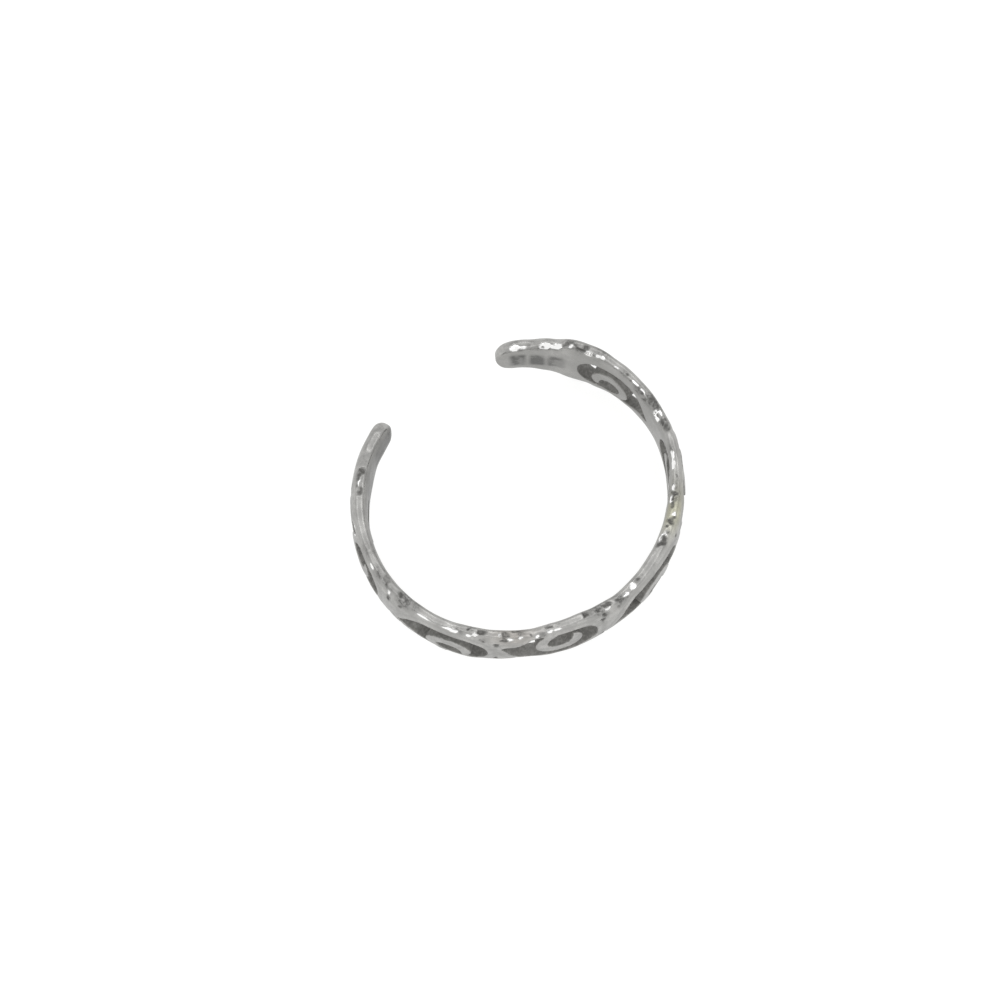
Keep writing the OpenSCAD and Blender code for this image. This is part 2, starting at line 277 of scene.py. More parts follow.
class Drawing:
    """A flat outline kept as a grid of distances, so that many points can be looked up at once."""

    def __init__(self, outline, half_x, half_y, step=0.025):
        self.half_x, self.half_y, self.step = half_x, half_y, step
        x = np.arange(-half_x, half_x + step, step)
        y = np.arange(-half_y, half_y + step, step)
        self.grid = outline_distance(outline, x[:, None] + 0 * y, 0 * x[:, None] + y)

    def at(self, x, y):
        """Distance at points of the drawing, minus inside the outline."""
        i = np.clip((x + self.half_x) / self.step, 0, self.grid.shape[0] - 1.001)
        j = np.clip((y + self.half_y) / self.step, 0, self.grid.shape[1] - 1.001)
        a, b = i.astype(int), j.astype(int)
        f, g = i - a, j - b
        near = self.grid[a, b] * (1 - f) + self.grid[a + 1, b] * f
        far = self.grid[a, b + 1] * (1 - f) + self.grid[a + 1, b + 1] * f
        return near * (1 - g) + far * g


def both(a, b, edge):
    """What two forms share, with the edge between them rounded to a radius."""
    corner = np.hypot(np.maximum(a + edge, 0), np.maximum(b + edge, 0))
    return np.minimum(np.maximum(a, b), -edge) + corner


def either(a, b, fillet):
    """Two forms as one, with a fillet where they meet."""
    return -both(-a, -b, fillet)


def ramp(x, low, high):
    """0 up to low, 1 from high on, and straight between them."""
    return np.clip((x - low) / (high - low), 0, 1)


def rounding(x, run):
    """Share of a quarter round, 0 at the tip and 1 at the end of the rounding."""
    return np.sqrt(1 - (1 - np.clip(x / run, 0, 1)) ** 2)


def ripple(x, y, z, wavelength, seed, waves=14):
    """A smooth random ripple between about -1 and 1."""
    pick = np.random.RandomState(seed)
    total = np.zeros(np.shape(x))
    for _ in range(waves):
        way = pick.normal(size=3)
        way *= 2 * math.pi / wavelength / np.linalg.norm(way) * pick.uniform(0.7, 1.3)
        total += np.sin(way[0] * x + way[1] * y + way[2] * z + pick.uniform(0, 2 * math.pi))
    return total / math.sqrt(waves)


Spots = namedtuple("Spots", "turn height depth wobble worn")


class RingShape:
    """The ring as a signed distance in millimetres, minus in the metal.

    A point is given by its turn from the front in radians, its height from the middle of the band,
    and its depth outwards from the wall of the hole. Spots also carry the ripple of the outlines
    of marks, and the metal worn off the skin.
    """

    def __init__(self, s):
        self.s = s
        self.half_span = math.radians(180 - s.opening / 2)
        self.mean_r = (s.hole_l + s.hole_w + 2 * s.wall_t) / 4
        self.run = self.half_span * self.mean_r
        self.top = s.band_w / 2 - s.rim_thin
        self.bottom = -s.band_w / 2 + s.rim_wide
        half_x, half_y = s.window_l / 2 + DRAWING_MARGIN[0], s.band_w / 2 + DRAWING_MARGIN[1]
        self.window = Drawing(self.window_outline(), half_x, half_y)
        self.scroll = Drawing(self.scroll_outline(), half_x, half_y)

    def window_outline(self):
        """A window with its tip to the left and its lobe to the right."""
        loop = smooth_loop(WINDOW_RUN, OUTLINE_STEPS)
        reach = (self.top - self.bottom) / 2
        return loop * (self.s.window_l / 2, reach) + (0, (self.top + self.bottom) / 2)

    def scroll_outline(self):
        """A scroll that grows from the upper rim, curls round to the left and ends in a tip."""
        s = self.s
        turns = np.linspace(SCROLL_RUN[0, 0], SCROLL_RUN[-1, 0], SCROLL_STEPS)
        reach = eased(SCROLL_RUN, turns, REACH)
        body = eased(SCROLL_RUN, turns, BODY)
        way = np.stack([np.cos(np.radians(turns)), np.sin(np.radians(turns))], 1)
        loop = np.concatenate([way * reach[:, None], (way * (reach - body)[:, None])[::-1]])
        middle = (s.window_l * s.shift_share, self.top - s.scroll_r * s.hang_share)
        return loop * s.scroll_r + middle

    def hole_r(self, place):
        """Inner radius of the bent oval."""
        s = self.s
        mean, sway = (s.hole_l + s.hole_w) / 4, (s.hole_l - s.hole_w) / 4
        oval = mean - sway * np.cos(2 * place * self.half_span)
        return oval + s.wall_t * eased(BAND_RUN, place, BEND)

    def arc(self, turn, depth, place):
        """Length along the band from a place to points, at their own depth."""
        return (turn - place * self.half_span) * (self.hole_r(place) + depth)

    def half_width(self, place):
        """Half of the band's width, without the rounding of its tips."""
        s = self.s
        return (s.end_w + (s.band_w - s.end_w) * eased(BAND_RUN, place, SWELL)) / 2

    def half_wall(self, place):
        """Half of the wall's thickness, without the crown and the rounding of the tips."""
        return self.s.wall_t / 2 * eased(BAND_RUN, place, WALL)

    def section(self, place):
        """Half width and half thickness of the band, rounded off at its tips."""
        from_tip = np.maximum((1 - np.abs(place)) * self.run, TIP_LEAST)
        half_w = self.half_width(place) * rounding(from_tip, self.s.tip_l)
        return half_w, self.half_wall(place) * rounding(from_tip, self.s.tip_l / 2)

    def worn(self, x, y, height, place):
        """Metal taken off the cast skin by finishing and wear."""
        s = self.s
        on_edge = ramp(np.abs(height) / self.half_width(place), *HAMMERED)
        waves = ripple(x, y, height, *LONG_RIPPLE) + 0.5 * ripple(x, y, height, *SHORT_RIPPLE)
        marks = s.hammer * on_edge * (ripple(x, y, height, *HAMMER_RIPPLE) + 1)
        return s.inset + s.ripple * waves + marks

    def crown(self, share):
        """Rise of the outer side's crown at a share of the half width."""
        return self.s.crown_rise * (1 - np.minimum(share, 1) ** 2)

    def skin(self, place, turn):
        """A point of the plain band's polished skin, as depth and height, and the way it faces."""
        half_w, half_t = self.section(place)

        def spot(degrees):
            c, s = math.cos(math.radians(degrees)), math.sin(math.radians(degrees))
            power = self.s.crown_power if c > 0 else self.s.wall_power
            up = abs(s) ** (2 / power)
            half = half_t + (self.crown(up) if c > 0 else 0)
            return self.s.wall_t / 2 + half * math.copysign(abs(c) ** (2 / power), c), half_w * up

        (d0, h0), (d1, h1) = spot(turn - 0.5), spot(turn + 0.5)
        size = math.hypot(d1 - d0, h1 - h0)
        d, h = spot(turn)
        out, up = (h1 - h0) / size, (d0 - d1) / size
        return d - out * self.s.inset, h - up * self.s.inset, out, up

    def band(self, place, height, depth):
        """The plain band, before anything is cut."""
        half_w, half_t = self.section(place)
        outside = depth > self.s.wall_t / 2
        ay = np.maximum(np.abs(height) / half_w, 1e-4)
        rise = np.where(outside, self.s.crown_rise, 0)
        half_t = half_t + np.where(outside, self.crown(ay), 0)
        ax = np.maximum(np.abs(depth - self.s.wall_t / 2) / half_t, 1e-4)
        power = np.where(outside, self.s.crown_power, self.s.wall_power)
        size = (ax ** power + ay ** power) ** (1 / power)
        pull = (ax / size) ** (power - 1)
        lean = pull * ax * 2 * rise * np.minimum(ay, 1) / half_t
        slope = np.hypot(pull / half_t, ((ay / size) ** (power - 1) + lean) / half_w)
        return both((size - 1) / slope, (np.abs(place) - 1) * self.run, TIP_EDGE)

    def outer_depth(self, place, height):
        """Depth of the outer side at a height."""
        share, power = abs(height) / self.half_width(place), self.s.crown_power
        out = self.half_wall(place) + self.crown(share)
        return self.s.wall_t / 2 + out * (1 - share ** power) ** (1 / power)

    def drawn(self, i, turn, height, depth):
        """Where points fall in the drawing of a window, and the scale of the drawing there."""
        middle = WINDOW_PLACES[i]
        off = turn - middle * self.half_span
        outer_r = self.hole_r(middle) + self.s.wall_t
        squeeze = self.half_width(middle) / (self.s.band_w / 2)
        ahead = (self.hole_r(turn / self.half_span) + depth) * np.cos(off)
        y = height * outer_r / ahead / squeeze * (1 if i % 2 == 0 else -1)
        return outer_r * np.tan(off), y, ahead / outer_r

    def by_window(self, turn, height, depth, margin):
        """For each window, the points near it, where they fall in its drawing, and its scale."""
        reach = (self.s.window_l / 2 + margin) / self.mean_r
        for i, middle in enumerate(WINDOW_PLACES):
            near = np.abs(turn - middle * self.half_span) < reach
            yield (near, *self.drawn(i, turn[near], height[near], depth[near]))

    def furrows(self, turn, height, depth):
        """How deep points lie in the shallow furrow round each window, from 0 to 1."""
        furrow = np.zeros(len(turn))
        for near, x, y, scale in self.by_window(turn, height, depth, FURROW_REACH):
            off = self.window.at(x, y) * scale - self.s.furrow_off
            furrow[near] = np.maximum(furrow[near], np.exp(-(off / FURROW_HALF) ** 2))
        return furrow * ramp(depth, self.s.wall_t / 2, self.s.wall_t / 2 + FURROW_FADE)

    def pierced(self, body, turn, height, depth):
        """The band with its windows cut and a scroll left standing in each."""
        s = self.s
        result = body.copy()
        for near, x, y, scale in self.by_window(turn, height, depth, WINDOW_REACH):
            metal = body[near]
            rim = both(metal, -self.window.at(x, y) * scale, s.rim_edge)
            curl = both(metal + s.scroll_sink, self.scroll.at(x, y) * scale, s.scroll_edge)
            result[near] = either(rim, curl, s.root_fillet)
        return result

    def cut_ball(self, body, at, place, centre, tail, radius, tail_radius, edge):
        """The form without a ball, or a drop that runs from one ball to a smaller one."""
        arc = self.arc(at.turn, at.depth, place)
        high = radius + self.s.drop_l + BALL_REACH
        near = (np.abs(arc) < radius + BALL_REACH) & (np.abs(at.height - centre[1]) < high)
        a, h, d = arc[near], at.height[near] - centre[1], at.depth[near] - centre[0]
        ex, ey = tail[1] - centre[1], tail[0] - centre[0]
        along = np.clip((h * ex + d * ey) / max(ex * ex + ey * ey, 1e-9), 0, 1)
        gap = np.sqrt(a * a + (h - along * ex) ** 2 + (d - along * ey) ** 2)
        ball = gap - (radius + (tail_radius - radius) * along) + at.wobble[near] * self.s.wobble
        body[near] = both(body[near], -ball, edge)
        return body

    def gouge(self, body, at, start, start_turn, end, end_turn, radius, cut):
        """The form without a round-nosed groove from one point of its skin to another."""
        middle = (start + end) / 2
        arc = self.arc(at.turn, at.depth, middle)
        tips = []
        for place, way in ((start, start_turn), (end, end_turn)):
            d, h, out, up = self.skin(place, way)
            tips.append(np.array([self.arc(place * self.half_span, d, middle),
                                  h + up * (radius - cut), d + out * (radius - cut)]))
        run = tips[1] - tips[0]
        near = (np.abs(arc) < abs(run[0]) / 2 + radius + GOUGE_REACH) & (at.height > 0)
        off = np.stack([arc[near], at.height[near], at.depth[near]], 1) - tips[0]
        share = np.clip(off @ run / max(run @ run, 1e-9), 0, 1)
        gap = np.linalg.norm(off - share[:, None] * run, axis=1)
        groove = gap - radius * (1 - GOUGE_TAPER * share) + at.wobble[near] * self.s.wobble
        body[near] = both(body[near], -groove, GOUGE_EDGE)
        return body

    def flat(self, body, at, place, turn_round, long, wide):
        """The form with a flat of this length and width rubbed on one edge."""
        d0, h0, out, up = self.skin(place, turn_round)
        before = self.skin(place, turn_round - FLAT_SPAN)
        after = self.skin(place, turn_round + FLAT_SPAN)
        bend = math.acos(before[2] * after[2] + before[3] * after[3])
        bend /= math.hypot(after[0] - before[0], after[1] - before[1])
        cut = max(FLAT_LEAST, wide ** 2 / 8 * bend)
        hollow = 4 * cut / wide ** 2 - bend / 2
        arc = self.arc(at.turn, at.depth, place)
        near = (np.abs(arc) < long) & (at.height > FLAT_FROM)
        off_d, off_h = at.depth[near] - d0, at.height[near] - h0
        plane = off_d * out + off_h * up + cut - hollow * (off_h * out - off_d * up) ** 2
        plane += at.worn[near] - self.s.inset
        wave = at.wobble[near] * self.s.wobble * FLAT_WOBBLE
        plane -= cut * (arc[near] * 2 / long) ** 4 + wave
        body[near] = both(body[near], plane, FLAT_EDGE)
        return body

    def rubbed(self, body, at):
        """The form with its flats, on the edge at the top of these heights."""
        for row in FLATS:
            body = self.flat(body, at, *row)
        return body

    def punched(self, body, at):
        """The form with its drops, dents and gouges, on the edge at the top of these heights."""
        s = self.s
        spread = s.dent_r / self.run
        for place in DIMPLE_PLACES:
            high = self.half_width(place) - s.rim_wide * DROP_SHARE
            out = self.outer_depth(place, high) + s.drop_r - s.dimple_depth
            body = self.cut_ball(body, at, place, (out, high), (out, high - s.drop_l),
                                 s.drop_r, s.drop_r / 2, DROP_EDGE)
            for share in DENT_OFFS:
                where = place + share * spread
                middle = (s.wall_t / 2, self.half_width(where) + s.dent_r - s.dimple_depth)
                body = self.cut_ball(body, at, where, middle, middle, s.dent_r, s.dent_r, DENT_EDGE)
        for row in GOUGES:
            body = self.gouge(body, at, *row)
        return body

    def distance(self, turn, height, depth):
        """Distances of points: from the finished ring, from the band with its flats, and from the
        ring before it is punched. Last comes the metal that the flats took."""
        s = self.s
        place = turn / self.half_span
        r = self.hole_r(place) + depth
        x, y = r * np.sin(turn), -r * np.cos(turn)
        worn = self.worn(x, y, height, place)
        rough = self.band(place, height, depth) + worn
        rough += s.furrow * self.furrows(turn, height, depth)
        up = Spots(turn, height, depth, ripple(x, y, height, *MARK_RIPPLE), worn)
        down = up._replace(height=-height)
        skin = self.rubbed(self.rubbed(rough.copy(), up), down)
        whole = self.pierced(skin, turn, height, depth)
        body = self.punched(self.punched(whole.copy(), up), down)
        return body, skin, whole, skin - rough

    def soot(self, turn, height, depth):
        """How much soot and painted shade the skin carries at points, from 0 to 1, the same at both
        edges.
        """
        amount = np.zeros(len(turn))
        for place, way, radius, strength in SOOT_AND_SHADE:
            d, h = self.skin(place, way)[:2]
            gap = self.arc(turn, depth, place) ** 2 + (np.abs(height) - h) ** 2 + (depth - d) ** 2
            amount = np.maximum(amount, SOOT_AND_SHADE_STRENGTH * strength * np.exp(-gap / radius ** 2))
        return np.minimum(amount, 1)

    def points(self, turn, height, depth):
        """Points of the ring in millimetres, round the middle of its oval."""
        r = self.hole_r(turn / self.half_span) + depth
        return np.stack([r * np.sin(turn), -r * np.cos(turn), height], 1)


def net(value):
    """Surface net of a grid of distances: points in grid steps, and four-sided faces."""
    inside = value < 0
    cells = tuple(n - 1 for n in value.shape)
    total = np.zeros(cells + (3,))
    count = np.zeros(cells, int)
    for axis in range(3):
        others = [a for a in range(3) if a != axis]
        for k in (0, 1):
            for m in (0, 1):
                start = [0, 0, 0]
                start[others[0]], start[others[1]] = k, m
                here = tuple(slice(start[a], start[a] + cells[a]) for a in range(3))
                start[axis] = 1
                there = tuple(slice(start[a], start[a] + cells[a]) for a in range(3))
                cross = inside[here] != inside[there]
                a, b = value[here][cross], value[there][cross]
                spot = np.zeros((len(a), 3))
                spot[:, axis] = a / (a - b)
                spot[:, others[0]], spot[:, others[1]] = k, m
                total[cross] += spot
                count[cross] += 1
    active = count > 0
    number = np.full(cells, -1)
    number[active] = np.arange(active.sum())
    points = np.argwhere(active) + total[active] / count[active][:, None]
    faces = []
    for axis in range(3):
        b, c = (axis + 1) % 3, (axis + 2) % 3
        span = [slice(1, n - 1) for n in value.shape]
        span[axis] = slice(0, cells[axis])
        ahead = list(span)
        ahead[axis] = slice(1, cells[axis] + 1)
        here, there = inside[tuple(span)], inside[tuple(ahead)]
        cross = np.argwhere(here != there)
        flip = here[tuple(cross.T)]
        cross[:, b] += 1
        cross[:, c] += 1
        ring = []
        for k, m in ((1, 1), (0, 1), (0, 0), (1, 0)):
            spot = cross.copy()
            spot[:, b] -= k
            spot[:, c] -= m
            ring.append(number[tuple(spot.T)])
        quad = np.stack(ring, 1)
        quad[~flip] = quad[~flip][:, ::-1]
        faces.append(quad)
    return points, np.concatenate(faces)


def settle(shape, at, rounds=3):
    """Points pulled onto the ring's surface, as turns, heights and depths."""
    step, least_slope, longest = 0.012, 0.25, 0.05
    for _ in range(rounds):
        turn, height, depth = at.T
        r = shape.hole_r(turn / shape.half_span) + depth
        off = shape.distance(turn, height, depth)[0]
        slope = np.stack([
            shape.distance(turn + step / r, height, depth)[0] - off,
            shape.distance(turn, height + step, depth)[0] - off,
            shape.distance(turn, height, depth + step)[0] - off,
        ], 1) / step
        move = -slope * (off / np.maximum((slope ** 2).sum(1), least_slope))[:, None]
        size = np.linalg.norm(move, axis=1)
        move *= np.minimum(1, longest / np.maximum(size, 1e-9))[:, None]
        at = at + np.stack([move[:, 0] / r, move[:, 1], move[:, 2]], 1)
    return at


def cast(shape):
    """The ring's surface: its points as turns, heights and depths, and four-sided faces."""
    s = shape.s
    step = s.cell
    last = shape.half_span + GRID_SPARE * step / shape.mean_r
    turns = np.arange(-last, last, step / (shape.mean_r + GRID_R))
    widest = s.band_w * GRID_HIGH
    heights = np.arange(-widest, widest + step, step)
    depths = np.arange(GRID_IN, s.wall_t + s.crown_rise + GRID_OUT, step)
    grid = np.meshgrid(turns, heights, depths, indexing="ij")
    value = shape.distance(*(g.ravel() for g in grid))[0].reshape(grid[0].shape)
    spots, faces = net(value)
    at = np.stack([turns[0] + spots[:, 0] * (turns[1] - turns[0]),
                   heights[0] + spots[:, 1] * step, depths[0] + spots[:, 2] * step], 1)
    return settle(shape, at), faces


def marks(shape, at):
    """What the finish needs to know at points of the surface, by name."""
    s = shape.s
    turn, height, depth = at.T
    place = turn / shape.half_span
    skin, whole, taken = shape.distance(turn, height, depth)[1:]
    pit = ramp(-whole, *PIT_DEPTH)
    sunk = ramp(-skin, *SUNK_DEPTH) * (1 - pit)
    inside = ramp((s.wall_t / 2 - depth) / shape.section(place)[1], *INWARDS)
    # A flat's bright colour is a painted highlight
    bright = ramp(taken, *PAINTED_HIGHLIGHT_DEPTH) * (1 - sunk) * (1 - pit)
    # Bands of painted shade on the inside of the ends
    stain = np.zeros(len(at))
    for spot, half, strength in SHADE_BANDS:
        soft = ramp(half - np.abs(place - spot), 0, SHADE_BAND_SOFT * half)
        stain = np.maximum(stain, strength * soft)
    stain *= inside * ramp(SHADE_BAND_HALF - np.abs(height - SHADE_BAND_MIDDLE), 0, SHADE_BAND_FADE)
    furrows = shape.furrows(turn, height, depth)
    on_edge = ramp(np.abs(height) / shape.half_width(place), *TINTED)
    tint = np.ones((len(at), 3))
    for spot, half, hue in TINTS:
        tint += (np.exp(-((place - spot) / half) ** 2) * on_edge)[:, None] * (np.array(hue) - 1)
    # Painted shade: the inside of the left end is made darker
    tint *= 1 - LEFT_END_PAINTED_SHADE * (inside * ramp(-place, *LEFT_END))[:, None]
    return {
        "sunk": sunk, "pit": pit, "inside": inside, "bright": bright, "stain": stain,
        # soot, with painted shade round the gouges and in the furrows
        "soot": np.maximum(shape.soot(turn, height, depth), FURROW_SOOT_AND_SHADE * furrows),
        "along": turn * shape.mean_r,
        "round_section": np.arctan2(height / s.band_w, (depth - s.wall_t / 2) / s.wall_t),
        "tint": tint,
    }


def keep_on(mesh, name, values):
    """Numbers or colours kept on the points of a mesh."""
    kind, key = ("FLOAT", "value") if values.ndim == 1 else ("FLOAT_VECTOR", "vector")
    layer = mesh.attributes.new(name, kind, "POINT")
    layer.data.foreach_set(key, values.astype(np.float32).ravel())


# ---- materials -----------------------------------------------------------------------------------


class Value:
    """An output socket, so that shader maths reads as a formula."""

    def __init__(self, nodes, socket):
        self.nodes, self.socket = nodes, socket

    def _math(self, operation, a, b):
        return self.nodes.add("ShaderNodeMath", {"operation": operation}, {0: a, 1: b})

    def __add__(self, other):
        return self._math("ADD", self, other)

    def __radd__(self, other):
        return self._math("ADD", other, self)

    def __sub__(self, other):
        return self._math("SUBTRACT", self, other)

    def __rsub__(self, other):
        return self._math("SUBTRACT", other, self)

    def __mul__(self, other):
        return self._math("MULTIPLY", self, other)

    def __rmul__(self, other):
        return self._math("MULTIPLY", other, self)


def shade(colour, share=1.0):
    """A colour for a socket, made darker or lighter by a share."""
    return (*(x * share for x in colour), 1.0)


class Nodes:
    """The node tree of one material or world."""

    def __init__(self, owner):
        owner.use_nodes = True
        self.tree = owner.node_tree
        self.tree.nodes.clear()

    def add(self, kind, settings=None, values=None, out=0):
        """A node: its settings first, then a value or a link for each socket named."""
        node = self.tree.nodes.new(kind)
        for name, value in (settings or {}).items():
            setattr(node, name, value)
        for key, value in (values or {}).items():
            if isinstance(value, Value):
                self.tree.links.new(value.socket, node.inputs[key])
            else:
                node.inputs[key].default_value = value
        return Value(self, node.outputs[out]) if len(node.outputs) else node

    def blend(self, a, b, share, mode="MIX"):
        """Two colours mixed."""
        return self.add("ShaderNodeMix", {"data_type": "RGBA", "blend_type": mode},
                        {0: share, 6: a, 7: b}, out=2)

    def between(self, value, low, high, start=0.0, end=1.0):
        """A value turned smoothly from start to end as it goes from low to high."""
        return self.add("ShaderNodeMapRange", {"interpolation_type": "SMOOTHSTEP"},
                        {0: value, 1: low, 2: high, 3: start, 4: end})

    def mark(self, name):
        """A number kept on the points of the mesh."""
        return self.add("ShaderNodeAttribute", {"attribute_name": name}, out=2)

    def noise(self, way, scale, detail, roughness=0.5):
        """Cloudy noise from about 0 to 1."""
        return self.add("ShaderNodeTexNoise", None, {
            "Vector": way, "Scale": scale, "Detail": detail, "Roughness": roughness,
        })


def silver_material(look):
    """Worn silver: grey skin, flats painted bright as highlights, dark in what is cut into it, and
    darker on the inside, as tarnish and as painted shade.
    """
    material = bpy.data.materials.new("worn_silver")
    n = Nodes(material)
    place = n.add("ShaderNodeTexCoord", out=3)
    sunk, pit, inside, flat = (n.mark(name) for name in ("sunk", "pit", "inside", "bright"))
    stain, soot, along, round_section = (
        n.mark(name) for name in ("stain", "soot", "along", "round_section"))
    tint = n.add("ShaderNodeAttribute", {"attribute_name": "tint"})
    lie = n.add("ShaderNodeCombineXYZ", None, {0: along * 0.9, 1: round_section * 5.5})
    drawn = n.add("ShaderNodeMapping", None, {"Vector": place, "Scale": (2500.0, 2500.0, 30000.0)})
    streak = n.noise(lie, 1.0, 4.0, 0.6)
    patch = n.noise(place, 480.0, 2.0)
    cloud = n.noise(place, 1300.0, 4.0, 0.65)
    speck = n.noise(place, 6000.0, 3.0, 0.7)
    grit = n.noise(place, 16000.0, 2.0)
    scratch = n.noise(drawn, 1.0, 3.0)

    # The skin, smudged along the band; darker inside, as tarnish and as painted shade; bands of
    # painted shade inside the ends; then the tints of its tarnished skin, with painted shade at the
    # left end
    smudge = n.between(cloud * 0.45 + speck * 0.35 + streak * 0.20, 0.40, 0.60)
    skin = n.blend(shade(look.silver, SMUDGE_SHADE), shade(look.silver), smudge)
    dull = n.between(patch * 0.8 + cloud * 0.2, 0.40, 0.58, 0.55, 1.0)
    # Darker inside: tarnish, and painted shade of the dim reflection inside the ring
    skin = n.blend(skin, shade(look.tarnish), inside * dull)
    # Painted shade: dark bands on the inside of the ends
    blot = n.between(patch * 0.4 + cloud * 0.6, 0.40, 0.54, 0.45, 1.0)
    skin = n.blend(skin, shade(look.tarnish, SHADE_BAND_TONE), stain * blot)
    # Tints of the tarnished skin, with painted shade on the inside of the left end
    skin = n.blend(skin, tint, 1.0, "MULTIPLY")

    # Soot with painted shade, then the flats, painted bright as highlights that show through it,
    # each with a dark rim of painted shade
    # Soot, deepened into painted shade
    sooty_shade = soot * n.between(cloud * 0.4 + speck * 0.6, 0.42, 0.56, 0.25, 1.0)
    skin = n.blend(skin, shade(look.tarnish, SOOT_AND_SHADE_TONE), sooty_shade * 0.85)
    # Painted highlight: the flats are painted bright enough to look white
    skin = n.blend(skin, shade(look.flat), flat)
    # Painted shade: a dark rim round each flat, standing in for the dark reflection at its rounded
    # edge
    painted_border_shade = flat * (1 - flat) * 4
    skin = n.blend(skin, shade(look.tarnish, PAINTED_BORDER_TONE), painted_border_shade * 0.5)

    # Soil in the drops, dents and gouges, and the dark film in the windows
    soil = pit * n.between(cloud * 0.6 + speck * 0.4, 0.36, 0.56, 0.35, 1.0)
    skin = n.blend(skin, shade(look.oxide, PIT_SHADE), soil)
    hollow = n.between(sunk, 0.2, 0.8)
    film = n.blend(*(shade(look.oxide, share) for share in FILM_SHADES),
                   n.between(cloud * 0.4 + speck * 0.6, 0.40, 0.60))

    relief = grit * 0.35 + scratch * 0.35 + speck * 0.3
    gloss = (look.roughness - smudge * 0.08) * (1 - flat * 0.75)
    shader = n.add("ShaderNodeBsdfPrincipled", None, {
        "Base Color": n.blend(skin, film, hollow),
        "Metallic": 1 - hollow * 0.75 - soil * 0.4,
        "Roughness": gloss + hollow * 0.3 + soil * 0.2,
        "Normal": n.add("ShaderNodeBump", None, {
            "Strength": 0.12, "Distance": 0.00001, "Height": relief,
        }),
        "Specular Tint": (0.75, 0.75, 0.75, 1.0),
    })
    n.add("ShaderNodeOutputMaterial", None, {"Surface": shader})
    return material


def table_material(look):
    """A plain pale table top of opal acrylic, lit from below."""
    material = bpy.data.materials.new("pale_table")
    n = Nodes(material)
    cloud = n.noise(n.add("ShaderNodeTexCoord", out=3), 14.0, 2.0)
    shader = n.add("ShaderNodeBsdfPrincipled", None, {
        "Base Color": n.blend(shade(look.floor, 0.985), shade(look.floor), cloud),
        "Roughness": 0.75, "Specular IOR Level": 0.2,
        "Emission Color": (1.0, 1.0, 0.995, 1.0), "Emission Strength": look.lamp,
    })
    n.add("ShaderNodeOutputMaterial", None, {"Surface": shader})
    return material


def studio_world(look):
    """A white tent: pale walls, a bright ring of softboxes part of the way up, and a plain roof."""
    world = bpy.data.worlds.new("white_tent")
    n = Nodes(world)
    way = n.add("ShaderNodeTexCoord", out=0)
    height = n.add("ShaderNodeSeparateXYZ", None, {0: way}, out=2)

    def above(degrees, fade):
        """1 above a height in degrees and 0 below it, faded over some degrees either way."""
        low, high = (math.sin(math.radians(d)) for d in (degrees - fade, degrees + fade))
        return n.between(height, low, high)

    ring = above(look.ring_low, 1.5) * (1 - above(look.ring_high, 1.5))
    strength = look.wall + (look.roof - look.wall) * above((look.ring_low + look.ring_high) / 2, 12)
    light = n.add("ShaderNodeBackground", None, {
        "Color": (1.0, 1.0, 1.0, 1.0), "Strength": strength + ring * look.softbox,
    })
    n.add("ShaderNodeOutputWorld", None, {"Surface": light})
    return world


# ---- settings ------------------------------------------------------------------------------------


def length(name, description, default):
    """A length that a user may change, given in millimetres."""
    return bpy.props.FloatProperty(
        name=name, description=description, default=default * MM, min=0.0,
        subtype="DISTANCE", unit="LENGTH", precision=5)


def ratio(name, description, default, high=1.0):
    """A plain number from 0 to high."""
    return bpy.props.FloatProperty(
        name=name, description=description, default=default, min=0.0, max=high)


def tone(name, description, default):
    """A colour that a user may change."""
    return bpy.props.FloatVectorProperty(
        name=name, description=description, default=default,
        subtype="COLOR", size=3, min=0.0, max=1.0)


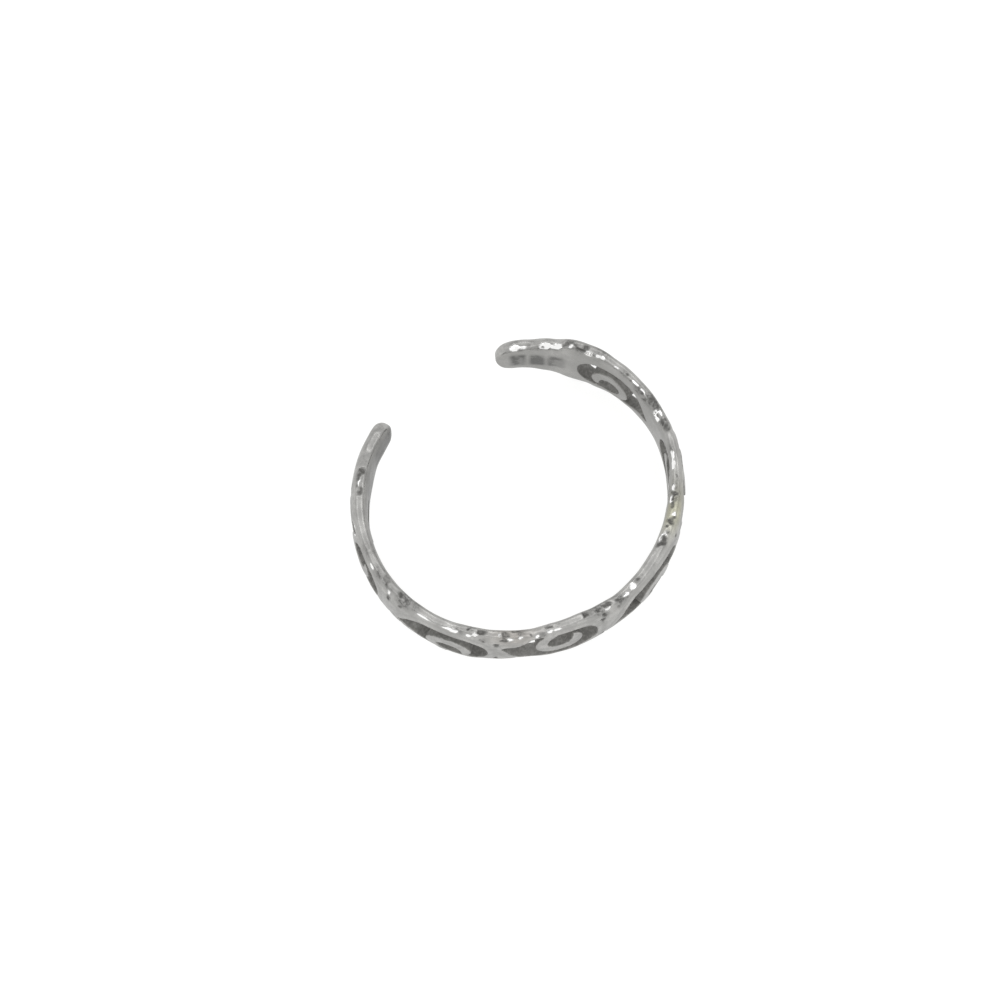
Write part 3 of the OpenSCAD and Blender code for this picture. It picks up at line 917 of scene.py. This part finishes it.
class ToeRingSizes(bpy.types.PropertyGroup):
    """Sizes of the ring, the same as the solid's."""

    hole_l: length("Hole length", "Inside of the ring across its long way", 15.6)
    hole_w: length("Hole width", "Inside of the ring from the front towards the opening", 14.4)
    opening: bpy.props.FloatProperty(
        name="Opening", description="Part of the turn left open between the ends",
        default=math.radians(51), subtype="ANGLE", unit="ROTATION")
    band_w: length("Band width", "Width of the band where it carries the scrolls", 4.1)
    end_w: length("End width", "Width of the plain ends", 2.75)
    wall_t: length("Wall", "Thickness of the wall, without its crown", 0.8)
    crown_rise: length("Crown", "How far the crown of the outer side stands out", 0.12)
    tip_l: length("Tip", "Length over which each end rounds to its tip", 1.15)
    window_l: length("Window length", "Length of one pierced window", 5.12)
    rim_thin: length("Thin rim", "Rim left on the side where a scroll grows", 0.5)
    rim_wide: length("Wide rim", "Rim left along the other side of a window", 0.68)
    scroll_r: length("Scroll radius", "Radius of the scroll that curls inside a window", 1.19)
    drop_r: length("Drop radius", "Radius of the drop-shaped dimples", 0.19)
    drop_l: length("Drop length", "Length of a drop-shaped dimple", 0.4)
    dent_r: length("Dent radius", "Radius of the dents along the two edges", 0.42)
    dimple_depth: length("Dimple depth", "Depth of the drops and dents", 0.1)
    rim_edge: length("Rim rounding", "Rounding of the edges of the windows", 0.04)
    scroll_edge: length("Scroll rounding", "Rounding of the edges of the scrolls", 0.05)
    scroll_sink: length("Scroll depth", "How far a scroll lies below the band's skin", 0.0)
    hammer: length("Hammering", "Depth of the hammer marks along the two edges", 0.005)
    wobble: length("Wobble", "How far a punched mark strays from round", 0.03)
    root_fillet: length("Root fillet", "Fillet where a scroll grows from its rim", 0.10)
    ripple: length("Ripple", "Height of the ripple that hand finishing leaves", 0.007)
    inset: length("Polish", "Metal taken off by polishing", 0.028)
    furrow: length("Furrow", "Depth of the furrow round each window", 0.035)
    furrow_off: length("Furrow offset", "Distance from a window to its furrow", 0.36)
    cell: length("Mesh cell", "Size of the cells of the ring's mesh", 0.075)
    crown_power: ratio("Outer squareness", "Squareness of the outer side, 2 is an ellipse", 3.1, 12)
    wall_power: ratio("Inner squareness", "Squareness of the inner side, 2 is an ellipse", 3.3, 12)
    hang_share: ratio("Scroll hang", "Drop of a scroll's middle below its rim, in its radii", 0.84)
    shift_share: ratio("Scroll shift", "Way of a scroll towards the lobe, in window lengths", 0.075)


class ToeRingFinish(bpy.types.PropertyGroup):
    """Colours and gloss of the silver."""

    silver: tone("Silver", "Skin of the ring", (0.48, 0.476, 0.462))
    # Painted highlight: the colour that the flats are painted
    flat: tone("Flats", "Flats rubbed bright by wear", (0.97, 0.967, 0.955))
    # Also the colour of painted shade: the darker inside, the shade bands, the soot and the flat
    # rims
    tarnish: tone("Inside", "Duller silver on the inside of the ring", (0.325, 0.322, 0.311))
    oxide: tone("Oxide", "Dark film in the windows and gouges", (0.195, 0.192, 0.182))
    roughness: ratio("Roughness", "Roughness of the skin", 0.34)


class ToeRingStage(bpy.types.PropertyGroup):
    """Table and light."""

    floor: tone("Table", "Colour of the table", (0.2, 0.2, 0.199))
    lamp: ratio("Table lamp", "Strength of the light inside the table", 0.86, 5)
    wall: ratio("Tent walls", "Strength of the tent near the table", 0.95, 5)
    roof: ratio("Roof", "Strength of the tent overhead", 1.05, 5)
    softbox: ratio("Softboxes", "Strength that the ring of softboxes adds", 1.4, 20)
    ring_low: ratio("Softboxes from", "Lower edge of the softboxes, in degrees", 50.0, 90)
    ring_high: ratio("Softboxes to", "Upper edge of the softboxes, in degrees", 58.0, 90)


class Millimetres:
    """The sizes as plain numbers, lengths in millimetres and the opening in degrees."""

    def __init__(self, sizes):
        for name, prop in sizes.bl_rna.properties.items():
            if prop.type == "FLOAT":
                value = getattr(sizes, name)
                if prop.unit == "LENGTH":
                    value /= MM
                elif prop.unit == "ROTATION":
                    value = math.degrees(value)
                setattr(self, name, value)


# ---- operators -----------------------------------------------------------------------------------


class TOERING_OT_silver_band(bpy.types.Operator):
    """Cast the ring: the pierced band with its scrolls, dimples and round ends"""

    bl_idname = "toe_ring.silver_band"
    bl_label = "Silver band"
    bl_options = {"REGISTER", "UNDO"}

    def execute(self, context):
        shape = RingShape(Millimetres(context.scene.toe_ring_sizes))
        at, faces = cast(shape)
        points = shape.points(*at.T)
        low, high = (np.array(c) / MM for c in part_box("ring_band"))
        points += (low + high) / 2 - (points.min(0) + points.max(0)) / 2
        mesh = bpy.data.meshes.new("silver_band")
        mesh.from_pydata((points * MM).tolist(), [], faces.tolist())
        mesh.polygons.foreach_set("use_smooth", np.ones(len(mesh.polygons), bool))
        for name, values in marks(shape, at).items():
            keep_on(mesh, name, values)
        mesh.validate()
        mesh.update()
        if len(mesh.polygons) < LEAST_FACES:
            raise RuntimeError("the ring has no surface: check its sizes")
        band = bpy.data.objects.new("silver_band", mesh)
        context.scene.collection.objects.link(band)
        mesh.materials.append(silver_material(context.scene.toe_ring_finish))
        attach(band, "root")
        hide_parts("ring_band")
        return {"FINISHED"}


class TOERING_OT_stage(bpy.types.Operator):
    """Set the ring on a pale table in a white tent, and aim the camera at it"""

    bl_idname = "toe_ring.stage"
    bl_label = "Table, light and camera"
    bl_options = {"REGISTER", "UNDO"}

    def execute(self, context):
        look = context.scene.toe_ring_stage
        mesh = bpy.data.meshes.new("table")
        corners = ((-1, -1), (1, -1), (1, 1), (-1, 1))
        mesh.from_pydata([(x * TABLE_HALF, y * TABLE_HALF, 0) for x, y in corners], [],
                         [(0, 1, 2, 3)])
        mesh.materials.append(table_material(look))
        table = bpy.data.objects.new("table", mesh)
        context.scene.collection.objects.link(table)
        context.scene.world = studio_world(look)
        context.scene.view_settings.view_transform = "Standard"

        turn, rise = math.radians(CAMERA_TURN), math.radians(CAMERA_RISE)
        back = Vector((math.sin(turn) * math.cos(rise), -math.cos(turn) * math.cos(rise),
                       math.sin(rise)))
        lens = bpy.data.cameras.new("camera")
        lens.sensor_width, lens.lens = 36.0, CAMERA_LENS
        lens.shift_x, lens.shift_y = CAMERA_SHIFT
        lens.clip_start, lens.clip_end = 0.01, 10.0
        camera = bpy.data.objects.new("camera", lens)
        camera.location = Vector(CAMERA_AIM) + back * CAMERA_FAR
        camera.rotation_euler = (-back).to_track_quat("-Z", "Y").to_euler()
        context.scene.collection.objects.link(camera)
        context.scene.camera = camera
        return {"FINISHED"}


class TOERING_PT_panel(bpy.types.Panel):
    """The toe ring's sizes, colours and steps"""

    bl_idname = "TOERING_PT_panel"
    bl_label = "Toe Ring"
    bl_space_type = "VIEW_3D"
    bl_region_type = "UI"
    bl_category = "Toe Ring"

    def draw(self, context):
        for group in GROUPS:
            box = self.layout.box()
            settings = getattr(context.scene, group)
            for name in settings.__annotations__:
                box.prop(settings, name)
        for operator in OPERATORS:
            self.layout.operator(operator.bl_idname)


GROUPS = {
    "toe_ring_sizes": ToeRingSizes,
    "toe_ring_finish": ToeRingFinish,
    "toe_ring_stage": ToeRingStage,
}
OPERATORS = (TOERING_OT_silver_band, TOERING_OT_stage)


def register():
    """Make the settings, the operators and the panel known."""
    for group, kind in GROUPS.items():
        bpy.utils.register_class(kind)
        setattr(bpy.types.Scene, group, bpy.props.PointerProperty(type=kind))
    for kind in (*OPERATORS, TOERING_PT_panel):
        bpy.utils.register_class(kind)


def unregister():
    """Take them away again."""
    for kind in (TOERING_PT_panel, *reversed(OPERATORS)):
        bpy.utils.unregister_class(kind)
    for group, kind in GROUPS.items():
        delattr(bpy.types.Scene, group)
        bpy.utils.unregister_class(kind)


def main():
    """Build the ring and its stage."""
    register()
    bpy.ops.toe_ring.silver_band()
    bpy.ops.toe_ring.stage()


if __name__ == "__main__":
    main()
